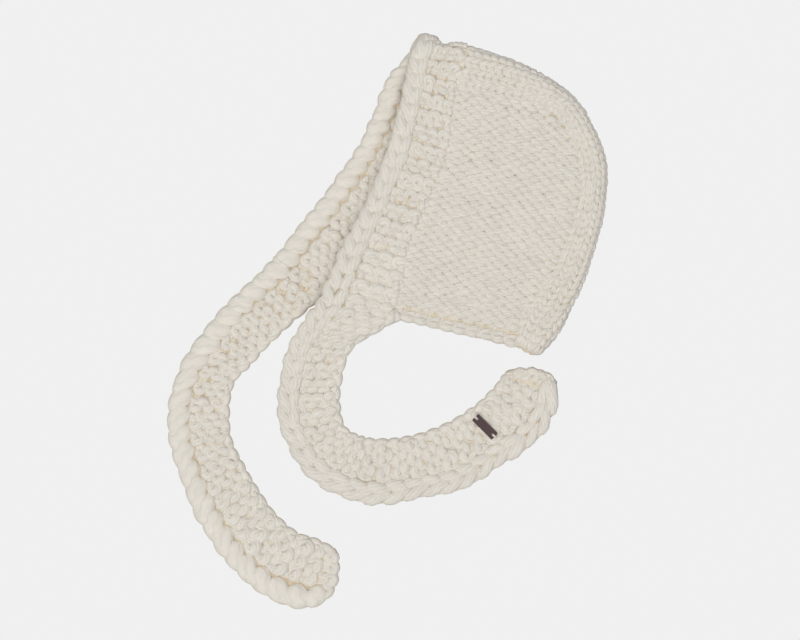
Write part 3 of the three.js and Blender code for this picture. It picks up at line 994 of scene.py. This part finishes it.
def label_outline(level):
    """The outline at a level: one end of the plate, and the same turned half round for the other end."""
    long = LABEL_SIZE[0] / 2
    corner = np.linspace(0, np.pi / 2, CORNER_POINTS)
    upper = LABEL_SIZE / 2 - LABEL_CORNER * (1 - np.column_stack([np.cos(corner), np.sin(corner)]))
    lower = upper[::-1] * (1, -1)
    bend = np.linspace(-np.pi / 2, np.pi / 2, NOTCH_POINTS)
    deep = long - NOTCH_DEPTH + NOTCH_RADIUS
    notch = np.column_stack([deep - NOTCH_RADIUS * np.cos(bend), NOTCH_RADIUS * np.sin(bend)])
    lips = np.array([[long, -NOTCH_RADIUS], [long, NOTCH_RADIUS]])
    end = np.vstack([lower, lips[:1], notch, lips[1:], upper])
    outline = np.vstack([end, -end])
    return np.column_stack([outline, np.full(len(outline), level)])


print("label outline:", len(label_outline(0)), "points")

# %% Plate
BORDER = 0.95
FIELD_DEPTH = 0.45
LABEL_ROUND = 0.2
STUD = 0.5
STUD_FLAT = 0.7
STUD_INSET = np.array([2.0, 1.75])


def cast_plate(shape):
    """The plate with its sunk field and rounded outer edge."""
    low, high = ([shape.verts.new(point) for point in (on_label(label_outline(level)) + HOME) * MM]
                 for level in LABEL_LEVELS)
    shape.faces.new(low[::-1])
    top = shape.faces.new(high)
    for k in range(len(low)):
        after = (k + 1) % len(low)
        shape.faces.new([low[k], low[after], high[after], high[k]])
    edges = list(top.edges)
    bmesh.ops.inset_region(shape, faces=[top], thickness=BORDER * MM, depth=-FIELD_DEPTH * MM)
    bmesh.ops.bevel(shape, geom=edges, offset=LABEL_ROUND * MM, segments=2, affect="EDGES")


def cast_studs(shape):
    """A flattened stud in each corner of the field."""
    inset = LABEL_SIZE / 2 - STUD_INSET
    for corner in ((1, 1), (1, -1), (-1, 1), (-1, -1)):
        spot = np.array([[*(inset * corner), LABEL_LEVELS[1] - FIELD_DEPTH]])
        place = Matrix.Translation((on_label(spot)[0] + HOME) * MM) @ Matrix.Diagonal((1, 1, STUD_FLAT, 1))
        bmesh.ops.create_uvsphere(shape, u_segments=12, v_segments=8, radius=STUD * MM, matrix=place)


shape = bmesh.new()
cast_plate(shape)
cast_studs(shape)
label_mesh = bpy.data.meshes.new("label_plate_enamel")
shape.to_mesh(label_mesh)
shape.free()
label = put("label_plate_enamel", label_mesh)
print("label plate:", len(label_mesh.polygons), "faces")

# %% [markdown]
# The thread comes up through each notch and goes down past the end of the plate. Two short arches of the same
# tube as the yarn are enough at each end, with ends that stay hidden in the wool.

# %% Thread of the plate
THREAD = 1.15
THREAD_SPREAD = 0.55
THREAD_RUN = 2.6
THREAD_INSET = 1.3
THREAD_RISE = 2.7
THREAD_DROP = 1.5
THREAD_LEAN = 0.5
THREAD_POINTS = 13


def label_threads():
    """The four strands that hold the plate."""
    turn = np.linspace(0, np.pi, THREAD_POINTS)
    thick = np.full_like(turn, THREAD)
    out = LABEL_SIZE[0] / 2 - THREAD_INSET - THREAD_RUN * np.cos(turn)
    up = LABEL_LEVELS[0] - THREAD_DROP + THREAD_RISE * np.sin(turn)
    for end in (1, -1):
        lean = -THREAD_LEAN * end * np.cos(turn)[:, None] * label_way
        normal = np.column_stack([lean, np.ones_like(turn)])
        for side in (-THREAD_SPREAD, THREAD_SPREAD):
            centre = on_label(np.column_stack([end * out, np.full_like(turn, side), up]))
            yield tube(centre, normal, np.full_like(turn, LOOP_DEPTH), thick, thick)


thread = yarn_mesh("label_plate_thread", list(label_threads()))
print("thread on the label plate:", thread.name)

# %% [markdown]
# ## Shared effects
#
# Two effects are made as node groups with named inputs, so that each finish can place them with its own
# values. Small helpers keep the node code short: each adds a node, fills its inputs and hands on its output.

# %% Helpers for nodes
RANGE_ENDS = ("From Min", "From Max", "To Min", "To Max")


def plug(tree, value, socket):
    """Links a socket to another one, or sets it to plain numbers."""
    if isinstance(value, bpy.types.NodeSocket):
        tree.links.new(value, socket)
    else:
        socket.default_value = value


def add_node(tree, kind, inputs=None, **settings):
    """A new shader node with its settings and inputs; hands on its outputs."""
    node = tree.nodes.new("ShaderNode" + kind)
    for name, value in settings.items():
        setattr(node, name, value)
    for label, value in (inputs or {}).items():
        plug(tree, value, node.inputs[label])
    return node.outputs


def math_node(tree, operation, first, second=0.5):
    """One step of arithmetic."""
    return add_node(tree, "Math", {0: first, 1: second}, operation=operation)[0]


def noise_node(tree, vector, detail):
    """Noise with one hump to a unit of length."""
    return add_node(tree, "TexNoise", {"Vector": vector, "Scale": 1.0, "Detail": detail})["Fac"]


def range_node(tree, value, source, target, way="LINEAR"):
    """Carries a value from a source range over to a target range."""
    ends = dict(zip(RANGE_ENDS, (*source, *target)))
    return add_node(tree, "MapRange", {"Value": value, **ends}, interpolation_type=way)[0]


def place_node(tree, x, y):
    """A place from two numbers."""
    return add_node(tree, "CombineXYZ", {0: x, 1: y})[0]


def new_group(name, inputs, outputs):
    """An empty node group with its input and output sockets."""
    tree = bpy.data.node_groups.new(name, "ShaderNodeTree")
    for label, value in inputs.items():
        socket = tree.interface.new_socket(label, in_out="INPUT", socket_type="NodeSocketFloat")
        socket.default_value = value
    for label in outputs:
        tree.interface.new_socket(label, in_out="OUTPUT", socket_type="NodeSocketFloat")
    return tree, tree.nodes.new("NodeGroupInput").outputs, tree.nodes.new("NodeGroupOutput").inputs


print("node groups so far:", len(bpy.data.node_groups))

# %% [markdown]
# Fibre lines run along a yarn and turn round it with its plies. A pattern in space would cut across the yarn,
# so the lines are read from the map that every yarn carries: once round it and along it, in centimetres.
# Broad plies and fine hairs add up to one height, which gives both the bump and the tone; the tone is darker
# where the height is low, as painted shade in the creases.

# %% Fibre lines
# A power under 1 gives round plies and narrow creases. Hairs are to a centimetre, round and along the yarn.
WANDER = 0.5
PLY_ROUND = 0.5
PLY_SHARE = 0.3
HAIR_SHARE = 0.7
HAIRS = (12.0, 1.6)
FIBRE_HEIGHTS = (0.3, 0.8)


def fibre_lines():
    """The group of plies and hairs."""
    inputs = {"Strand": 0.36, "Twist": 0.3, "Low": 0.9, "High": 1.05}
    tree, given, result = new_group("fibre lines", inputs, ["Height", "Tone"])
    place = add_node(tree, "UVMap", uv_map="yarn")[0]
    around, length = list(add_node(tree, "SeparateXYZ", {0: place}))[:2]
    wander = noise_node(tree, place_node(tree, length, 0.0), detail=1.0)
    turned = math_node(tree, "SUBTRACT", around, math_node(tree, "MULTIPLY", length, given["Twist"]))
    turned = math_node(tree, "ADD", turned, math_node(tree, "MULTIPLY", wander, WANDER))
    strand = math_node(tree, "DIVIDE", turned, given["Strand"])
    wave = math_node(tree, "SINE", math_node(tree, "MULTIPLY", strand, np.pi))
    ply = math_node(tree, "POWER", math_node(tree, "ABSOLUTE", wave), PLY_ROUND)
    spot = place_node(tree, *(math_node(tree, "MULTIPLY", way, size)
                              for way, size in zip((turned, length), HAIRS)))
    hair = noise_node(tree, spot, detail=2.0)
    height = math_node(tree, "ADD", math_node(tree, "MULTIPLY", ply, PLY_SHARE),
                       math_node(tree, "MULTIPLY", hair, HAIR_SHARE))
    plug(tree, height, result["Height"])
    # The tone follows the height: painted shade, darker in the creases of plies and hairs.
    tone = range_node(tree, height, FIBRE_HEIGHTS, (given["Low"], given["High"]))
    plug(tree, tone, result["Tone"])
    return tree


FIBRES = fibre_lines()
print("node group:", FIBRES.name)

# %% [markdown]
# Soft mottle is the slow change of tone that wool, felt and old enamel all have. It is noise in the piece's
# own space, so it stays on the piece from every side, and its input says how fine it is.

# %% Soft mottle
MOTTLE_RANGE = (0.3, 0.7)


def soft_mottle():
    """The group of slow changes of tone."""
    inputs = {"Per metre": 60.0, "Low": 0.95, "High": 1.05}
    tree, given, result = new_group("soft mottle", inputs, ["Tone"])
    place = add_node(tree, "TexCoord")["Object"]
    sizes = {0: place, "Scale": given["Per metre"]}
    scaled = add_node(tree, "VectorMath", sizes, operation="SCALE")[0]
    noise = noise_node(tree, scaled, detail=3.0)
    plug(tree, range_node(tree, noise, MOTTLE_RANGE, (given["Low"], given["High"])), result["Tone"])
    return tree


MOTTLE = soft_mottle()
print("node group:", MOTTLE.name)

# %% [markdown]
# ## Finishes
#
# A finish is one material with a Principled shader. What is the same all over a surface is set on the
# shader's own sockets, and what changes over it comes from the groups. The helpers here make a plain finish,
# place a group in it, and mix the colours and the bump that a group gives.

# %% Helpers for finishes
def new_finish(name, roughness, specular):
    """A material, its nodes and its shader's inputs."""
    material = bpy.data.materials.new(name)
    material.use_nodes = True
    shader = material.node_tree.nodes["Principled BSDF"]
    shader.inputs["Roughness"].default_value = roughness
    shader.inputs["Specular IOR Level"].default_value = specular
    return material, material.node_tree, shader.inputs


def place_group(tree, group, **values):
    """A node group with its own values; an underscore stands for a space in their names."""
    inputs = {label.replace("_", " "): value for label, value in values.items()}
    return add_node(tree, "Group", inputs, node_tree=group)


def mix_node(tree, way, share, first, second):
    """A mix of two colours; the colours are the node's inputs 6 and 7, and its output 2."""
    return add_node(tree, "Mix", {0: share, 6: first, 7: second}, data_type="RGBA", blend_type=way)[2]


def bumped(tree, shader, height, distance):
    """Bump of a height in metres on a shader."""
    bump = add_node(tree, "Bump", {"Distance": distance, "Height": height})[0]
    plug(tree, bump, shader["Normal"])


print("node groups to place:", len(bpy.data.node_groups))

# %% [markdown]
# ## Cream wool
#
# The wool is cream, matt and a little fuzzy, with a warmer tone deep between the loops, where light goes from
# yarn to yarn. Subsurface scattering would soften it too, but it greys the creases of such thin tubes, so the
# depth that each point keeps mixes a warmer cream in as painted shade. Sheen gives the pale fuzz at the edges
# of the yarn.

# %% Wool
CREAM = (0.88, 0.83, 0.745, 1)
SHADED_CREAM = (0.87, 0.745, 0.53, 1)
# Shares of the outer depth: the painted warm shade begins at the first and is full at the second.
SHADED_DEPTHS = (0.65, 0.1)
WOOL_SHEEN = 0.5
FIBRE_BUMP = 0.0012


def wool_finish():
    """Cream wool, with painted warm shade where it lies deep."""
    wool, tree, shader = new_finish("cream wool", roughness=0.9, specular=0.15)
    shader["Sheen Weight"].default_value = WOOL_SHEEN
    shader["Sheen Roughness"].default_value = WOOL_SHEEN
    sunk = add_node(tree, "Attribute", attribute_name="depth")["Fac"]
    depth = math_node(tree, "ABSOLUTE", sunk)
    # A mask for painted warm shade, full where a point lies deep between the loops.
    inside = range_node(tree, depth, SHADED_DEPTHS, (0.0, 1.0), "SMOOTHSTEP")
    mottle = place_group(tree, MOTTLE, Per_metre=70.0, Low=0.97, High=1.03)
    fibres = place_group(tree, FIBRES, Strand=0.34, Twist=0.3, Low=0.92, High=1.05)
    colour = mix_node(tree, "MIX", inside, CREAM, SHADED_CREAM)
    colour = mix_node(tree, "MULTIPLY", 1.0, colour, mottle["Tone"])
    # The fibre tone is painted shade in the creases of the yarn.
    colour = mix_node(tree, "MULTIPLY", 1.0, colour, fibres["Tone"])
    plug(tree, colour, shader["Base Color"])
    bumped(tree, shader, fibres["Height"], FIBRE_BUMP)
    return wool


wool = wool_finish()
print("finish:", wool.name)

# %% [markdown]
# ## Felted ground with painted shade
#
# Between the loops such wool shows small tan hollows, where matted fibre lies in shade. Deep shadow alone
# would be grey there, so the ground carries that tan as painted shade, rough and mottled as fine as felt.

# %% Ground
SHADE_TAN = (0.7, 0.59, 0.44, 1)


def felt_and_shade_finish():
    """Tan felt, coloured as painted shade."""
    ground, tree, shader = new_finish("felted ground and painted shade", roughness=1.0, specular=0.1)
    mottle = place_group(tree, MOTTLE, Per_metre=300.0, Low=0.85, High=1.1)
    # The tan is painted shade for the hollows between the loops.
    plug(tree, mix_node(tree, "MULTIPLY", 1.0, SHADE_TAN, mottle["Tone"]), shader["Base Color"])
    bumped(tree, shader, mottle["Tone"], FIBRE_BUMP)
    return ground


ground = felt_and_shade_finish()
print("finish:", ground.name)

# %% [markdown]
# ## Dark enamel
#
# The plate is coated with dark brown enamel, baked on and a little worn, with a dull shine. The same mottle,
# much finer, changes its tone, its roughness and its height, so the shine breaks up as on a real coat.

# %% Enamel
ENAMEL = (0.066, 0.029, 0.03, 1)
ENAMEL_ROUGHNESS = 0.42
ENAMEL_BUMP = 0.00003


def enamel_finish():
    """Dark enamel with a broken shine."""
    enamel, tree, shader = new_finish("dark enamel", roughness=ENAMEL_ROUGHNESS, specular=0.35)
    mottle = place_group(tree, MOTTLE, Per_metre=900.0, Low=0.75, High=1.3)
    plug(tree, mix_node(tree, "MULTIPLY", 1.0, ENAMEL, mottle["Tone"]), shader["Base Color"])
    plug(tree, math_node(tree, "MULTIPLY", mottle["Tone"], ENAMEL_ROUGHNESS), shader["Roughness"])
    bumped(tree, shader, mottle["Tone"], ENAMEL_BUMP)
    return enamel


enamel = enamel_finish()
print("finish:", enamel.name)

# %% [markdown]
# ## What each piece stands for
#
# Every piece rides on the part's only body, takes its finish and replaces an imported solid. Each ground sheet
# goes with the yarn of its piece, in place of the same solid.

# %% Roles of the cloth
def stand_in(piece, node, finish):
    """Gives a piece its finish and its part in the model."""
    piece.data.materials.append(finish)
    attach(piece, "root")
    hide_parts(node)


for node, yarn in pieces.items():
    sheet, width, length, area = sheets[node]
    stand_in(yarn, node, wool)
    stand_in(sheet, node, ground)
print("sheets declared:", len(sheets))

# %% Roles of the label
stand_in(label, "label_plate", enamel)
stand_in(thread, "label_plate", wool)
print("label plate and thread stand for the packed plate")

# %% [markdown]
# ## Floor
#
# The hood lies on a plain pale ground that shows no shadow. A floor that glows for the camera alone keeps
# that even tone, and for all other light it is a soft grey that throws a little light back under the wool.

# %% Floor
FLOOR_REACH = 3.0
FLOOR_LEVEL = -0.0005
FLOOR_GLOW = 0.871
FLOOR_GREY = (0.35, 0.35, 0.35, 1)
corners = [(x * FLOOR_REACH, y * FLOOR_REACH, FLOOR_LEVEL) for x, y in ((-1, -1), (1, -1), (1, 1), (-1, 1))]
floor_mesh = bpy.data.meshes.new("floor")
floor_mesh.from_pydata(corners, [], [(0, 1, 2, 3)])
pale = bpy.data.materials.new("pale floor")
pale.use_nodes = True
tree = pale.node_tree
tree.nodes.remove(tree.nodes["Principled BSDF"])
seen = add_node(tree, "Emission", {"Strength": FLOOR_GLOW})[0]
unseen = add_node(tree, "BsdfDiffuse", {"Color": FLOOR_GREY})[0]
camera_ray = add_node(tree, "LightPath")["Is Camera Ray"]
either = add_node(tree, "MixShader", {0: camera_ray, 1: unseen, 2: seen})[0]
plug(tree, either, tree.nodes["Material Output"].inputs["Surface"])
floor_mesh.materials.append(pale)
floor = put("floor", floor_mesh)
print("floor at", FLOOR_LEVEL, "m")

# %% [markdown]
# ## Light
#
# The light is that of a soft box overhead, a little from the lower left, with a pale room round it. An area
# lamp would do, but a sun with a very wide angle gives such soft shadows with little noise, and it falls
# the same on all of the hood.

# %% Light
ROOM_STRENGTH = 0.35
SUN_STRENGTH = 1.62
SUN_WIDTH = 70
SUN_TILT = 8
world = bpy.data.worlds.new("studio")
bpy.context.scene.world = world
world.use_nodes = True
room = world.node_tree.nodes["Background"].inputs
room["Color"].default_value = (1, 1, 1, 1)
room["Strength"].default_value = ROOM_STRENGTH
sun = bpy.data.lights.new("soft overhead light", "SUN")
sun.energy = SUN_STRENGTH
sun.angle = np.radians(SUN_WIDTH)
lamp = put("soft overhead light", sun)
lamp.rotation_euler = (np.radians(SUN_TILT), np.radians(-SUN_TILT), 0)
print("light:", SUN_STRENGTH, "from above and", ROOM_STRENGTH, "from all round")

# %% [markdown]
# ## Camera
#
# The hood is seen straight from above. A long lens keeps the layers from shifting against each other, and
# the camera hangs so high that a pixel is as wide on the upper cloth as in the photograph.

# %% Camera
IMAGE_WIDTH = 800
PIXEL = 1.05
LENS = 85.0
SENSOR = 36.0
VIEW_MIDDLE = np.array([10.5, -0.5])
VIEW_LEVEL = 20.0
VIEW_END = 10.0
view = bpy.data.cameras.new("camera")
view.lens = LENS
view.sensor_width = SENSOR
view.clip_end = VIEW_END
camera = put("camera", view)
height = IMAGE_WIDTH * PIXEL * LENS / SENSOR + VIEW_LEVEL
camera.location = np.append(VIEW_MIDDLE + HOME[:2], height) * MM
bpy.context.scene.camera = camera
bpy.context.scene.view_settings.view_transform = "Standard"
print("camera", round(height), "mm up")
